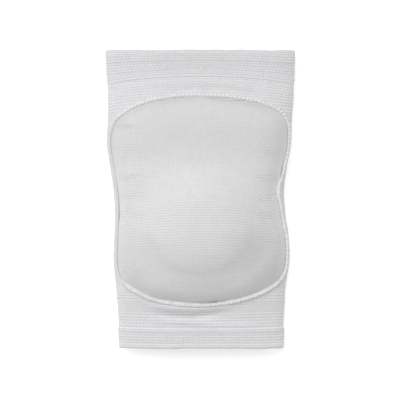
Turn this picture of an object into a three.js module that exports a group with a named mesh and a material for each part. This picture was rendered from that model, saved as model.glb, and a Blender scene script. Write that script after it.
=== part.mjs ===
// A volleyball knee pad that lies on its back: a knitted sleeve with a turned cuff at each end, and a
// moulded foam pad under a knitted cover, which an overlocked seam holds to the front of the sleeve.
// Millimetres, +Z up. +Y runs from the calf end to the thigh end, and +X to the right seen from above.
import * as THREE from "three";

const { lerp, clamp, smoothstep, degToRad } = THREE.MathUtils;

// The sleeve, outside sizes as it lies flat.
const LENGTH = 216;
const THIGH_WIDTH = 136.5;
const CALF_WIDTH = 118;
const THIGH_MOUTH_HEIGHT = 27;
const CALF_MOUTH_HEIGHT = 23;
const ARCH_HEIGHT = 38;
const SLEEVE_WALL = 2;
const FOLD_HEIGHT = 2.4;
const CROWN_FULLNESS = 2.3;
const BACK_FULLNESS = 3;
const BACK_FLATTENING = 1.06;

// The cuffs, where the knit is turned double.
const CUFF_WALL = 2.8;
const CUFF_PROUD = 0.8;
const THIGH_CUFF_DEPTH = 24;
const CALF_CUFF_DEPTH = 15.5;
const THIGH_CUFF_BOW = 5;
const CALF_CUFF_BOW = -1;
const CUFF_RIB_COUNT = 3;
const CUFF_RIB_DEPTH = 0.4;
const CUFF_EDGE_ROUND = 1;

// The pad: where its seam starts above the calf edge, how long it is, and how far it stands up.
const PAD_START = 32;
const PAD_LENGTH = 150.7;
const PAD_RISE_CALF = 12.5;
const PAD_RISE_THIGH = 5;
const SHOULDER_CALF = 15;
const SHOULDER_THIGH = 27;
const SHOULDER_SOFTNESS_CALF = 1;
const SHOULDER_SOFTNESS_THIGH = 1;
const DOME_RISE = 16;
const DOME_LENGTH = 96;
const DOME_WIDTH = 106;
const DOME_CENTRE = 56;
const DOME_FULLNESS = 3;
const COVER_WALL = 1.5;
const SEAM_WIDTH = 3.2;
const SEAM_HEIGHT = 2.2;

// Space left between pieces that touch, and how finely each is faceted.
const CLEARANCE = 0.5;
const FOAM_CLEARANCE = 0.8;
const RING_POINT_COUNT = 46;
const SLEEVE_STATION_COUNT = 23;
const STATION_CROWDING = 0.6;
const PAD_POINT_COUNT = 58;
const PAD_RING_COUNT = 10;
const RING_CROWDING = 1.45;
const SEAM_SIDE_COUNT = 8;

// Sections of the sleeve. at is a share of LENGTH, left and right are shares of the half width that
// a straight taper has there, rise is the share of the way up from the mouths' height to
// ARCH_HEIGHT, and widest is the height of the widest place as a share of the section's height.
const SECTIONS = [
  { at: 0.0, left: 0.985, right: 1.015, rise: 0.0, widest: 0.5 },
  { at: 0.08, left: 0.99, right: 1.01, rise: 0.03, widest: 0.5 },
  { at: 0.14, left: 0.995, right: 1.015, rise: 0.25, widest: 0.49 },
  { at: 0.2, left: 1.005, right: 1.015, rise: 0.62, widest: 0.46 },
  { at: 0.3, left: 1.02, right: 1.05, rise: 0.92, widest: 0.42 },
  { at: 0.38, left: 0.998, right: 1.025, rise: 1.0, widest: 0.42 },
  { at: 0.45, left: 0.982, right: 0.98, rise: 1.0, widest: 0.42 },
  { at: 0.53, left: 0.985, right: 0.952, rise: 1.0, widest: 0.42 },
  { at: 0.61, left: 1.012, right: 0.975, rise: 0.98, widest: 0.42 },
  { at: 0.69, left: 1.038, right: 1.01, rise: 0.95, widest: 0.43 },
  { at: 0.77, left: 1.015, right: 1.006, rise: 0.86, widest: 0.45 },
  { at: 0.85, left: 1.0, right: 1.013, rise: 0.5, widest: 0.48 },
  { at: 0.92, left: 0.998, right: 1.003, rise: 0.12, widest: 0.5 },
  { at: 1.0, left: 1.0, right: 1.0, rise: 0.0, widest: 0.5 },
];

// The line of the seam round the pad. along is a share of PAD_LENGTH from the calf end of the pad,
// and left and right are shares of the sleeve's half width on that side.
const PAD_OUTLINE = [
  { along: 0.0, left: 0.15, right: 0.13 },
  { along: 0.022, left: 0.52, right: 0.44 },
  { along: 0.06, left: 0.74, right: 0.72 },
  { along: 0.11, left: 0.905, right: 0.895 },
  { along: 0.17, left: 0.949, right: 0.951 },
  { along: 0.3, left: 0.953, right: 0.957 },
  { along: 0.46, left: 0.944, right: 0.936 },
  { along: 0.55, left: 0.946, right: 0.918 },
  { along: 0.65, left: 0.95, right: 0.947 },
  { along: 0.78, left: 0.952, right: 0.957 },
  { along: 0.87, left: 0.915, right: 0.94 },
  { along: 0.925, left: 0.79, right: 0.855 },
  { along: 0.967, left: 0.59, right: 0.64 },
  { along: 0.993, left: 0.3, right: 0.31 },
  { along: 1.0, left: 0.08, right: 0.03 },
];

// Soft folds in the front of the sleeve. at is a share of LENGTH, across and reach are shares of the
// half width, spread and bow are shares of LENGTH, and lift is a share of FOLD_HEIGHT.
const FOLDS = [
  { at: 0.134, across: -0.1, reach: 0.62, spread: 0.014, bow: 0.02, lift: 0.9 },
  { at: 0.106, across: -0.17, reach: 0.5, spread: 0.014, bow: 0.02, lift: -0.9 },
  { at: 0.078, across: 0.25, reach: 0.6, spread: 0.01, bow: 0.0, lift: 0.3 },
  { at: 0.866, across: 0.1, reach: 0.7, spread: 0.012, bow: -0.03, lift: -0.4 },
  { at: 0.893, across: -0.1, reach: 0.75, spread: 0.014, bow: -0.025, lift: 0.4 },
];

const FOLD_FADE_START = 0.4;
const QUARTER_TURN = degToRad(90);
const TURN_STEP = 0.01;
const LENGTH_STEP = 0.5;
const FINE_STEP_COUNT = 360;

// One column of a table at a place along it, as a smooth curve through the rows.
function column(rows, name, at) {
  const last = rows.length - 1;
  const place = clamp(at, rows[0].at, rows[last].at);
  let i = 0;
  while (i < last - 1 && rows[i + 1].at < place) i += 1;
  const slope = (k) => {
    const before = rows[Math.max(k - 1, 0)];
    const after = rows[Math.min(k + 1, last)];
    return (after[name] - before[name]) / (after.at - before.at);
  };
  const span = rows[i + 1].at - rows[i].at;
  const u = (place - rows[i].at) / span;
  const bend = u * (1 - u) * span;
  return (
    lerp(rows[i][name], rows[i + 1][name], u * u * (3 - 2 * u)) +
    bend * ((1 - u) * slope(i) - u * slope(i + 1))
  );
}

// The sleeve's section at y: its half widths, its height, and how high its widest place is.
function section(y) {
  const at = y / LENGTH;
  const halfWidth = lerp(CALF_WIDTH, THIGH_WIDTH, at) / 2;
  const mouth = lerp(CALF_MOUTH_HEIGHT, THIGH_MOUTH_HEIGHT, at);
  const height = lerp(mouth, ARCH_HEIGHT, column(SECTIONS, "rise", at));
  return {
    left: halfWidth * column(SECTIONS, "left", at),
    right: halfWidth * column(SECTIONS, "right", at),
    height,
    widest: height * column(SECTIONS, "widest", at),
  };
}

// How far the folds lift the front of the sleeve. across is the share of the half width.
function foldLift(y, across) {
  return FOLDS.reduce((sum, fold) => {
    const reached = clamp(Math.abs(across - fold.across) / fold.reach, 0, 1);
    const ridge = (fold.at + fold.bow * reached * reached) * LENGTH;
    const off = (y - ridge) / (fold.spread * LENGTH);
    const fade = 1 - smoothstep(reached, FOLD_FADE_START, 1);
    return sum + FOLD_HEIGHT * fold.lift * fade * Math.exp(-off * off);
  }, 0);
}

// A point of the sleeve's outer face. turn goes round the section from its right side over the
// crown, at a quarter turn, and the left side to the back, which lies flat on the floor.
function skinPoint(y, turn) {
  const { left, right, height, widest } = section(y);
  const cos = Math.cos(turn);
  const sin = Math.sin(turn);
  const power = 2 / (sin >= 0 ? CROWN_FULLNESS : BACK_FULLNESS);
  const across = Math.sign(cos) * Math.abs(cos) ** power;
  const x = across * (cos > 0 ? right : left);
  if (sin < 0) {
    const z = widest * (1 - BACK_FLATTENING * Math.abs(sin) ** power);
    return new THREE.Vector3(x, y, Math.max(z, 0));
  }
  const z = widest + (height - widest) * sin ** power;
  return new THREE.Vector3(x, y, z + foldLift(y, across) * sin);
}

function skinNormal(y, turn) {
  const along = skinPoint(y + LENGTH_STEP, turn).sub(skinPoint(y - LENGTH_STEP, turn));
  const around = skinPoint(y, turn + TURN_STEP).sub(skinPoint(y, turn - TURN_STEP));
  return along.cross(around).normalize();
}

// The turn at which the front of the sleeve has this x.
function turnAt(x, y) {
  const { left, right } = section(y);
  const share = clamp(x / (x > 0 ? right : left), -1, 1);
  return Math.acos(Math.sign(share) * Math.abs(share) ** (CROWN_FULLNESS / 2));
}

const skinHeight = (x, y) => skinPoint(y, turnAt(x, y)).z;

// Turns that cut the section at y into equal lengths, from the middle of the back.
function evenTurns(y, count) {
  const turns = [];
  const lengths = [];
  let before = null;
  for (let k = 0; k <= FINE_STEP_COUNT; k += 1) {
    turns.push(-QUARTER_TURN + (k / FINE_STEP_COUNT) * 4 * QUARTER_TURN);
    const point = skinPoint(y, turns[k]);
    lengths.push(before ? lengths[k - 1] + point.distanceTo(before) : 0);
    before = point;
  }
  return Array.from({ length: count }, (_, i) => {
    const wanted = (i / count) * lengths[FINE_STEP_COUNT];
    const k = lengths.findIndex((length) => length > wanted);
    const share = (wanted - lengths[k - 1]) / (lengths[k] - lengths[k - 1]);
    return lerp(turns[k - 1], turns[k], share);
  });
}

// Joins rings of equal count into one closed surface, each ring to the next and the last to the
// first. A ring of one point closes the surface there.
function closedSurface(rings) {
  const starts = [];
  const positions = [];
  for (const ring of rings) {
    starts.push(positions.length / 3);
    for (const point of ring) positions.push(point.x, point.y, point.z);
  }
  const index = [];
  rings.forEach((ring, r) => {
    const next = (r + 1) % rings.length;
    const count = Math.max(ring.length, rings[next].length);
    if (count === 1) return;
    for (let i = 0; i < count; i += 1) {
      const j = (i + 1) % count;
      const [a, b] = [starts[r] + (i % ring.length), starts[r] + (j % ring.length)];
      const [c, d] = [i, j].map((k) => starts[next] + (k % rings[next].length));
      if (a !== b) index.push(a, b, c);
      if (c !== d) index.push(b, d, c);
    }
  });
  const geometry = new THREE.BufferGeometry();
  geometry.setAttribute("position", new THREE.Float32BufferAttribute(positions, 3));
  geometry.setIndex(index);
  geometry.computeVertexNormals();
  return geometry;
}

// A tube of knit that follows the sleeve's section. profile is the loop of its wall, along its inside
// and back along its outside: y along the sleeve, out from its outer face, and bow, how far the
// course lies further along at the middle of the front than at the back.
function knitTube(profile) {
  const rings = profile.map(({ y, out, bow }) =>
    evenTurns(y, RING_POINT_COUNT).map((turn) => {
      const place = y + bow * Math.max(Math.sin(turn), 0) ** 2;
      const point = skinPoint(place, turn);
      point.addScaledVector(skinNormal(place, turn), out);
      point.z = Math.max(point.z, 0);
      return point;
    }),
  );
  return closedSurface(rings);
}

// Where each cuff meets the sleeve, and half the space between them.
const CALF_JOIN = CALF_CUFF_DEPTH;
const THIGH_JOIN = LENGTH - THIGH_CUFF_DEPTH;
const HALF_CLEARANCE = CLEARANCE / 2;

function sleeveGeometry() {
  const start = CALF_JOIN + HALF_CLEARANCE;
  const end = THIGH_JOIN - HALF_CLEARANCE;
  const stations = Array.from({ length: SLEEVE_STATION_COUNT + 1 }, (_, k) => {
    const even = k / SLEEVE_STATION_COUNT;
    const crowded = (1 - Math.cos(even * 2 * QUARTER_TURN)) / 2;
    const share = lerp(even, crowded, STATION_CROWDING);
    return { y: lerp(start, end, share), bow: lerp(CALF_CUFF_BOW, THIGH_CUFF_BOW, share) };
  });
  const inside = stations.map((station) => ({ ...station, out: -SLEEVE_WALL }));
  const outside = stations.map((station) => ({ ...station, out: 0 })).reverse();
  return knitTube([...inside, ...outside]);
}

// A cuff from its join with the sleeve to its turned edge, with ribs round its outside.
function cuffGeometry(join, edge, bow) {
  const way = Math.sign(edge - join);
  const start = join + way * HALF_CLEARANCE;
  const round = edge - way * CUFF_EDGE_ROUND;
  const inner = CUFF_PROUD - CUFF_WALL;
  const bowAt = (y) => (bow * (edge - y)) / (edge - join);
  const row = (y, out) => ({ y, out, bow: bowAt(y) });
  const ribs = Array.from({ length: 2 * CUFF_RIB_COUNT + 1 }, (_, k) => {
    const valley = k % 2 === 1 ? CUFF_RIB_DEPTH : 0;
    return row(lerp(start, round, k / (2 * CUFF_RIB_COUNT)), CUFF_PROUD - valley);
  });
  const loop = [
    ...ribs,
    row(edge, CUFF_PROUD - CUFF_EDGE_ROUND),
    row(edge, inner + CUFF_EDGE_ROUND),
    row(round, inner),
    row(start, inner),
  ];
  return knitTube(way > 0 ? loop.reverse() : loop);
}

// The line of the seam on the sleeve, as points with the sleeve's normal and the direction that
// leads away from the pad along the sleeve.
function seamLine() {
  const corner = (along, side, across) => {
    const y = PAD_START + along * PAD_LENGTH;
    const x = across * section(y)[side];
    return new THREE.Vector3(x, y, skinHeight(x, y));
  };
  const rightSide = PAD_OUTLINE.map(({ along, right }) => corner(along, "right", right));
  const leftSide = PAD_OUTLINE.map(({ along, left }) => corner(along, "left", -left)).reverse();
  const corners = [...rightSide, ...leftSide];
  const curve = new THREE.CatmullRomCurve3(corners, true, "centripetal");
  const points = curve.getSpacedPoints(PAD_POINT_COUNT).slice(0, PAD_POINT_COUNT);
  return points.map(({ x, y }, i) => {
    const turn = turnAt(x, y);
    const before = points[(i + PAD_POINT_COUNT - 1) % PAD_POINT_COUNT];
    const after = points[(i + 1) % PAD_POINT_COUNT];
    const normal = skinNormal(y, turn);
    const away = after.clone().sub(before).cross(normal).normalize();
    return { point: skinPoint(y, turn), normal, away };
  });
}

const SEAM_LINE = seamLine();

// The outline, seen from above, of a layer of the pad that lies this deep in it.
function layerRim(depth) {
  const inset = SEAM_WIDTH / 2 + CLEARANCE + depth;
  return SEAM_LINE.map(({ point, away }) => {
    const { x, y } = point.clone().addScaledVector(away, -inset);
    return new THREE.Vector2(x, y);
  });
}

function distanceTo(rim, x, y) {
  const here = new THREE.Vector2(x, y);
  const nearest = new THREE.Vector2();
  return rim.reduce((best, from, i) => {
    const side = rim[(i + 1) % rim.length].clone().sub(from);
    const share = clamp(here.clone().sub(from).dot(side) / side.lengthSq(), 0, 1);
    nearest.copy(from).addScaledVector(side, share);
    return Math.min(best, nearest.distanceTo(here));
  }, Infinity);
}

// The height at which a piece rests on the front of the sleeve, a clearance away from its face.
function padFloor(x, y) {
  return skinHeight(x, y) + CLEARANCE / skinNormal(y, turnAt(x, y)).z;
}

// How far a layer of the pad stands up at a place: a rounded shoulder all round, thinner towards
// the thigh, and a dome over the kneecap. Both are narrower in a deeper layer.
function padRise(rim, depth, x, y) {
  const along = (y - PAD_START) / PAD_LENGTH;
  const shoulder = lerp(SHOULDER_CALF, SHOULDER_THIGH, along) - depth;
  const body = lerp(PAD_RISE_CALF, PAD_RISE_THIGH, along) - depth;
  const outward = 1 - clamp(distanceTo(rim, x, y) / shoulder, 0, 1);
  const softness = lerp(SHOULDER_SOFTNESS_CALF, SHOULDER_SOFTNESS_THIGH, along);
  const dome = Math.hypot(
    x / (DOME_WIDTH / 2 - depth),
    (y - PAD_START - DOME_CENTRE) / (DOME_LENGTH / 2 - depth),
  );
  const cup = Math.max(1 - dome ** DOME_FULLNESS, 0) ** 2;
  return body * (1 - outward * outward) ** softness + DOME_RISE * cup;
}

// Rings of a layer of the pad from its rim to its middle, crowded towards the rim. rise gives how
// far each point stands up from the sleeve.
function layerRings(depth, rise) {
  const rim = layerRim(depth);
  const middle = new THREE.Vector2(0, PAD_START + PAD_LENGTH / 2);
  const lifted = ({ x, y }) => new THREE.Vector3(x, y, padFloor(x, y) + rise(rim, depth, x, y));
  const rings = Array.from({ length: PAD_RING_COUNT }, (_, k) => {
    const inward = (k / PAD_RING_COUNT) ** RING_CROWDING;
    return rim.map((point) => lifted(point.clone().lerp(middle, inward)));
  });
  return [...rings, [lifted(middle)]];
}

function coverGeometry() {
  const inside = layerRings(COVER_WALL, padRise).reverse();
  return closedSurface([...layerRings(0, padRise), ...inside]);
}

// The foam fills the cover and lies on the sleeve, down to a thin edge all round.
function foamGeometry() {
  const depth = COVER_WALL + FOAM_CLEARANCE;
  const underside = layerRings(depth, () => 0).slice(1).reverse();
  return closedSurface([...layerRings(depth, padRise), ...underside]);
}

// The overlocked seam, a flat oval band that lies on the sleeve against the cover's rim.
function seamGeometry() {
  const rings = Array.from({ length: SEAM_SIDE_COUNT }, (_, s) => {
    const angle = (s / SEAM_SIDE_COUNT) * 4 * QUARTER_TURN;
    const aside = (Math.cos(angle) * SEAM_WIDTH) / 2;
    const up = CLEARANCE + ((1 + Math.sin(angle)) * SEAM_HEIGHT) / 2;
    return SEAM_LINE.map(({ point, normal, away }) =>
      point.clone().addScaledVector(away, aside).addScaledVector(normal, up),
    );
  });
  return closedSurface(rings);
}

function cloth(name, geometry, colour, roughness) {
  const material = new THREE.MeshStandardMaterial({ color: colour, roughness, metalness: 0 });
  const mesh = new THREE.Mesh(geometry, material);
  mesh.name = name;
  return mesh;
}

const kneePad = new THREE.Group();
kneePad.add(
  cloth("sleeve", sleeveGeometry(), 0xdcdcde, 0.9),
  cloth("thigh_cuff", cuffGeometry(THIGH_JOIN, LENGTH, THIGH_CUFF_BOW), 0xdddddf, 0.9),
  cloth("calf_cuff", cuffGeometry(CALF_JOIN, 0, CALF_CUFF_BOW), 0xdddddf, 0.9),
  cloth("foam_pad", foamGeometry(), 0xd8d6cf, 0.95),
  cloth("pad_cover", coverGeometry(), 0xdededf, 0.85),
  cloth("cover_seam", seamGeometry(), 0xf0f0f0, 0.8),
);

// The origin is on the floor under the middle of the whole thing.
const box = new THREE.Box3().setFromObject(kneePad);
const middle = box.getCenter(new THREE.Vector3());
kneePad.position.set(-middle.x, -middle.y, -box.min.z);

export default kneePad;
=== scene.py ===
# %% [markdown]
# # A volleyball knee pad, knitted and sewn
#
# The imported solids give a knee pad that lies on its back: a sleeve, two cuffs, a foam pad, its
# cover and the seam round it. This lesson puts real knit, foam and thread in their place. Each
# piece keeps the form of its solid, because both come from the same few sizes.
#
# The order is: the frame, the view, the form of the sleeve, a way to knit meshes, the pieces one
# by one, their finishes, and last which solid each piece stands for.

# %% Load the imported model as the frame
import math

import bpy
import numpy as np
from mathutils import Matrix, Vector


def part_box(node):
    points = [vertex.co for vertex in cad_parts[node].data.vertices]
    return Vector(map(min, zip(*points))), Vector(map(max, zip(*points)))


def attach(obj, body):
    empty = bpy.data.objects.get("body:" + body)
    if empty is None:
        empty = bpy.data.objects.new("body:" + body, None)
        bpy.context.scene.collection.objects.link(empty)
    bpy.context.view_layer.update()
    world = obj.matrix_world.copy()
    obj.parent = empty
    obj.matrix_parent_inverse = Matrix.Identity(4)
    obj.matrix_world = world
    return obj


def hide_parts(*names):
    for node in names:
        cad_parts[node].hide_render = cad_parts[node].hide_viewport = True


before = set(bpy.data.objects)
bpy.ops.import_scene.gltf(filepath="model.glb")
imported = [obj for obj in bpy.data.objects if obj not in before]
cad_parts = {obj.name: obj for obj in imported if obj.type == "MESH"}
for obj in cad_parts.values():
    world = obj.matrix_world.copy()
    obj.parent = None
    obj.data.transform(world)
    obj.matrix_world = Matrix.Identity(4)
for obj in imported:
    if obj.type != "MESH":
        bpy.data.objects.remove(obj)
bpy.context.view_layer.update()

scene = bpy.context.scene
MM = 0.001

# %% [markdown]
# ## The view and the light
#
# The knee pad is seen from straight above, so small that a long lens hardly bends it. Soft light
# from the upper left could come from one lamp close by, but then one side of the table is brighter
# than the other. A wide sun and an even sky light all of it alike, so the table stays white and
# only the slopes of the cloth turn grey.

# %% Camera, floor and lights
PICTURE_WIDTH = 290 * MM
LENS = 300
SENSOR = 36
VIEW_CENTRE = (-0.15 * MM, -0.5 * MM)
OUTLINE_HEIGHT = 14 * MM

camera = bpy.data.objects.new("camera", bpy.data.cameras.new("camera"))
camera.data.lens = LENS
camera.data.sensor_width = SENSOR
distance = PICTURE_WIDTH * LENS / SENSOR
camera.location = (*VIEW_CENTRE, OUTLINE_HEIGHT + distance)
scene.collection.objects.link(camera)
scene.camera = camera

FLOOR_HALF = 4
FLOOR_DROP = 0.2 * MM
floor_mesh = bpy.data.meshes.new("floor")
signs = ((-1, -1), (1, -1), (1, 1), (-1, 1))
corners = [(x * FLOOR_HALF, y * FLOOR_HALF, -FLOOR_DROP) for x, y in signs]
floor_mesh.from_pydata(corners, [], [(0, 1, 2, 3)])
floor = bpy.data.objects.new("floor", floor_mesh)
scene.collection.objects.link(floor)

SUN_DIRECTION = Vector((-0.26, 0.38, 1.0))
SUN_STRENGTH = 1.8
SUN_SPREAD = math.radians(45)
SKY_STRENGTH = 0.44

sun = bpy.data.objects.new("key_light", bpy.data.lights.new("key_light", "SUN"))
sun.data.energy = SUN_STRENGTH
sun.data.angle = SUN_SPREAD
sun.rotation_mode = "QUATERNION"
sun.rotation_quaternion = SUN_DIRECTION.to_track_quat("Z", "Y")
scene.collection.objects.link(sun)
scene.world = bpy.data.worlds.new("sky")
scene.world.use_nodes = True
sky = scene.world.node_tree.nodes["Background"]
sky.inputs["Color"].default_value = (1, 1, 1, 1)
sky.inputs["Strength"].default_value = SKY_STRENGTH
scene.view_settings.view_transform = "Standard"
print("camera", round(distance, 3), "m above the outline")

# %% [markdown]
# ## The form of the sleeve
#
# The sleeve is a flat tube that arches over the foam pad. It could be sculpted, but then nothing
# would keep it in step with the solids. So it is worked out as they are: a few sections, with
# smooth curves between them, and a few soft folds. Lengths run from the calf edge, and a turn goes
# round a section from its right side over the crown to its flat back.

# %% Sizes of the sleeve and the pad
calf_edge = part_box("calf_cuff")[0].y
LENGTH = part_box("thigh_cuff")[1].y - calf_edge
THIGH_WIDTH = 136.5 * MM
CALF_WIDTH = 118 * MM
THIGH_MOUTH_HEIGHT = 27 * MM
CALF_MOUTH_HEIGHT = 23 * MM
ARCH_HEIGHT = 38 * MM
FOLD_HEIGHT = 2.4 * MM
CROWN_FULLNESS = 2.3
BACK_FULLNESS = 3
BACK_FLATTENING = 1.06
FOLD_FADE_START = 0.4
SLEEVE_WALL = 2 * MM
CUFF_WALL = 2.8 * MM
CUFF_PROUD = 0.8 * MM
THIGH_CUFF_DEPTH = 24 * MM
CALF_CUFF_DEPTH = 15.5 * MM
THIGH_CUFF_BOW = 5 * MM
CALF_CUFF_BOW = -1 * MM
PAD_START = 32 * MM
PAD_LENGTH = 150.7 * MM
PAD_RISE_CALF = 12.5 * MM
PAD_RISE_THIGH = 5 * MM
SHOULDER_CALF = 15 * MM
SHOULDER_THIGH = 27 * MM
SHOULDER_SOFTNESS_CALF = 1
SHOULDER_SOFTNESS_THIGH = 1
DOME_RISE = 16 * MM
DOME_LENGTH = 96 * MM
DOME_WIDTH = 106 * MM
DOME_CENTRE = 56 * MM
DOME_FULLNESS = 3
COVER_WALL = 1.5 * MM
SEAM_WIDTH = 3.2 * MM
CLEARANCE = 0.5 * MM
FOAM_CLEARANCE = 0.8 * MM
print("length", round(LENGTH / MM, 2), "mm from edge to edge")


# %% Tables of sections, of the pad's outline and of folds
def table(names, *rows):
    """A table as its named columns."""
    return dict(zip(names.split(), np.array(rows, float).T))


SECTIONS = table(
    "at left right rise widest",
    (0.00, 0.985, 1.015, 0.00, 0.50),
    (0.08, 0.990, 1.010, 0.03, 0.50),
    (0.14, 0.995, 1.015, 0.25, 0.49),
    (0.20, 1.005, 1.015, 0.62, 0.46),
    (0.30, 1.020, 1.050, 0.92, 0.42),
    (0.38, 0.998, 1.025, 1.00, 0.42),
    (0.45, 0.982, 0.980, 1.00, 0.42),
    (0.53, 0.985, 0.952, 1.00, 0.42),
    (0.61, 1.012, 0.975, 0.98, 0.42),
    (0.69, 1.038, 1.010, 0.95, 0.43),
    (0.77, 1.015, 1.006, 0.86, 0.45),
    (0.85, 1.000, 1.013, 0.50, 0.48),
    (0.92, 0.998, 1.003, 0.12, 0.50),
    (1.00, 1.000, 1.000, 0.00, 0.50),
)
PAD_OUTLINE = table(
    "along left right",
    (0.000, 0.150, 0.130),
    (0.022, 0.520, 0.440),
    (0.060, 0.740, 0.720),
    (0.110, 0.905, 0.895),
    (0.170, 0.949, 0.951),
    (0.300, 0.953, 0.957),
    (0.460, 0.944, 0.936),
    (0.550, 0.946, 0.918),
    (0.650, 0.950, 0.947),
    (0.780, 0.952, 0.957),
    (0.870, 0.915, 0.940),
    (0.925, 0.790, 0.855),
    (0.967, 0.590, 0.640),
    (0.993, 0.300, 0.310),
    (1.000, 0.080, 0.030),
)
FOLDS = table(
    "at across reach spread bow lift",
    (0.134, -0.10, 0.62, 0.014, 0.020, 0.9),
    (0.106, -0.17, 0.50, 0.014, 0.020, -0.9),
    (0.078, 0.25, 0.60, 0.010, 0.000, 0.3),
    (0.866, 0.10, 0.70, 0.012, -0.030, -0.4),
    (0.893, -0.10, 0.75, 0.014, -0.025, 0.4),
)


# %% Smooth curves through the rows of a table
def lerp(a, b, share):
    return a + (b - a) * share


def curve_through(places, values, at):
    """Values at places between given ones, on a smooth curve that passes through them all."""
    last = len(places) - 1
    at = np.clip(at, places[0], places[last])
    i = np.clip(np.searchsorted(places, at) - 1, 0, last - 1)
    after = np.minimum(np.arange(last + 1) + 1, last)
    before = np.maximum(np.arange(last + 1) - 1, 0)
    gap = (places[after] - places[before]).reshape((-1,) + (1,) * (values.ndim - 1))
    slope = (values[after] - values[before]) / gap
    shape = at.shape + (1,) * (values.ndim - 1)
    span = (places[i + 1] - places[i]).reshape(shape)
    u = (at - places[i]).reshape(shape) / span
    eased = lerp(values[i], values[i + 1], u * u * (3 - 2 * u))
    return eased + u * (1 - u) * span * ((1 - u) * slope[i] - u * slope[i + 1])


def section(y):
    """The half widths to the left and right, the height, and how high the widest place is."""
    at = y / LENGTH
    left, right, rise, widest = (
        curve_through(SECTIONS["at"], SECTIONS[name], at) for name in ("left", "right", "rise", "widest")
    )
    half_width = lerp(CALF_WIDTH, THIGH_WIDTH, at) / 2
    height = lerp(lerp(CALF_MOUTH_HEIGHT, THIGH_MOUTH_HEIGHT, at), ARCH_HEIGHT, rise)
    return half_width * left, half_width * right, height, height * widest


print("section at the middle, mm:", [round(float(v) / MM, 1) for v in section(np.array(LENGTH / 2))])


# %% The outer face of the sleeve
def dent(x, y, at_x, at_y, half_x, half_y):
    """1 in the middle of a small oval dent, fading to nothing."""
    return np.exp(-(((x - at_x * MM) / (half_x * MM)) ** 2) - ((y - at_y * MM) / (half_y * MM)) ** 2)


def smooth_step(x, low, high):
    u = np.clip((x - low) / (high - low), 0, 1)
    return u * u * (3 - 2 * u)


def fold_lift(y, across):
    """How far the folds lift the front of the sleeve at a share of its half width."""
    lift = 0
    for at, middle, reach, spread, bow, height in zip(*FOLDS.values()):
        reached = np.clip(np.abs(across - middle) / reach, 0, 1)
        off = (y / LENGTH - at - bow * reached**2) / spread
        fade = 1 - smooth_step(reached, FOLD_FADE_START, 1)
        lift = lift + FOLD_HEIGHT * height * fade * np.exp(-(off**2))
    return lift


def skin(y, turn):
    """Points of the outer face, in three columns."""
    left, right, height, widest = section(y)
    cos, sin = np.cos(turn), np.sin(turn)
    power = 2 / np.where(sin >= 0, CROWN_FULLNESS, BACK_FULLNESS)
    across = np.sign(cos) * np.abs(cos) ** power
    up = np.abs(sin) ** power
    back = np.maximum(widest * (1 - BACK_FLATTENING * up), 0)
    front = widest + (height - widest) * up + fold_lift(y, across) * sin
    x = across * np.where(cos > 0, right, left)
    return np.stack(np.broadcast_arrays(x, y, np.where(sin < 0, back, front)), -1)


LENGTH_STEP = 0.5 * MM
TURN_STEP = 0.01


def unit(vectors):
    return vectors / np.maximum(np.linalg.norm(vectors, axis=-1, keepdims=True), 1e-12)


def skin_normal(y, turn):
    along = skin(y + LENGTH_STEP, turn) - skin(y - LENGTH_STEP, turn)
    around = skin(y, turn + TURN_STEP) - skin(y, turn - TURN_STEP)
    return unit(np.cross(along, around))


def turn_at(x, y):
    """The turn at which the front of the sleeve has this x."""
    left, right, _, _ = section(y)
    share = np.clip(x / np.where(x > 0, right, left), -1, 1)
    return np.arccos(np.sign(share) * np.abs(share) ** (CROWN_FULLNESS / 2))


FINE_TURNS = np.linspace(-0.5 * math.pi, 1.5 * math.pi, 721)


def steps_round(y):
    """The lengths between fine turns, from the middle of the back."""
    return np.linalg.norm(np.diff(skin(y, FINE_TURNS), axis=0), axis=1)


def run_of(steps):
    """The length up to each place, from the steps between them."""
    return np.concatenate([[0], np.cumsum(steps)])


def even_turns(y, count):
    """Turns that cut the section at each y into equal lengths."""
    wanted = np.arange(count) / count
    runs = [run_of(steps_round(place)) for place in y]
    return np.array([np.interp(wanted * run[-1], run, FINE_TURNS) for run in runs])


def girth(y):
    return float(steps_round(y).sum())


print("girth at the calf, middle and thigh, mm:", [round(girth(y) / MM) for y in (0, LENGTH / 2, LENGTH)])

# %% [markdown]
# ## A way to knit meshes
#
# Every knitted piece here is a wall whose face is one fine grid of points, with its rows along the
# courses of the knit. One class collects the points of a piece and the faces between them. With
# each point it keeps two facts for the finishes: where the point is in the knit, counted in wales
# and courses, and how far it stands up out of the valleys. The second also carries painted shade:
# the finishes paint the valleys darker, and some places are given extra painted shade.


# %% The class that collects a piece
def grid_of(columns, rows):
    """Places in the knit for a grid of points."""
    return np.stack(np.meshgrid(columns, rows), -1)


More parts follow.
